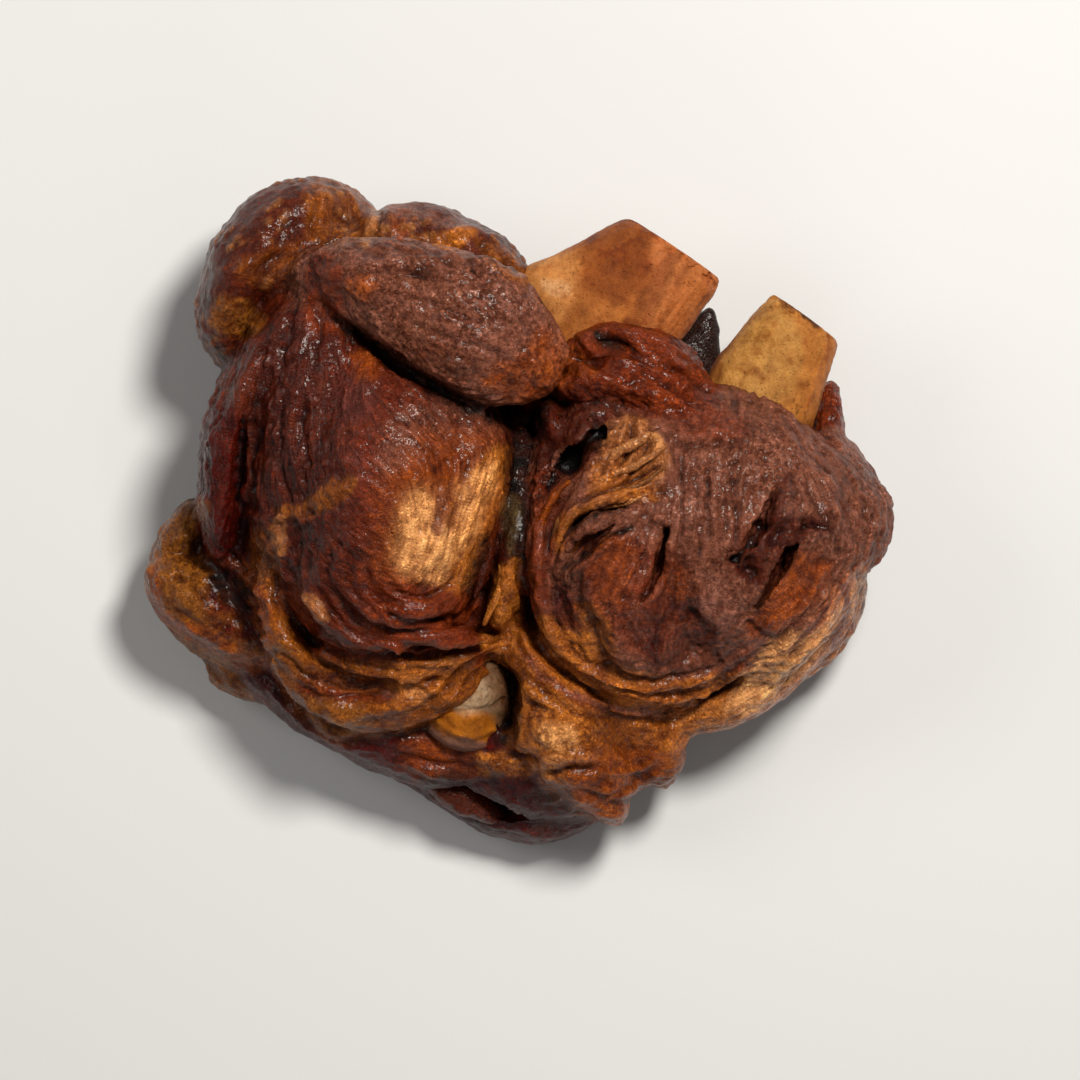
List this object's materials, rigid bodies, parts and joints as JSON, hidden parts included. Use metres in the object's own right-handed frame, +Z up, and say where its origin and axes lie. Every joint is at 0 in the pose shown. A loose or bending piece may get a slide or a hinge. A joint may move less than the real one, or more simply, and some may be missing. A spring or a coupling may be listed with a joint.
{
  "type": "pork leg",
  "caption": "Braised pork leg opened along the bone and laid skin side down: dark meat, fat, rind, sawn bone ends.",
  "frame": {"origin": "centre of the bounding box in plan, on the surface that the skin rests on", "axes": "+Z up, away from the surface; +X across both muscles, the leg's longest extent; the sawn bones point towards +X and +Y"},
  "size_m": [0.1884, 0.168, 0.0742],
  "materials": {
    "braised_meat": "wet, glossy in patches, dark red-brown braised meat, fat and rind",
    "bone": "satin ochre cooked bone, stained brown",
    "cartilage": "wet yellow cartilage over grey-white porous bone"
  },
  "bodies": {
    "root": {"meat": "braised_meat", "bone_wide": "bone", "bone_narrow": "bone", "joint_bone": "cartilage"}
  },
  "joints": []
}
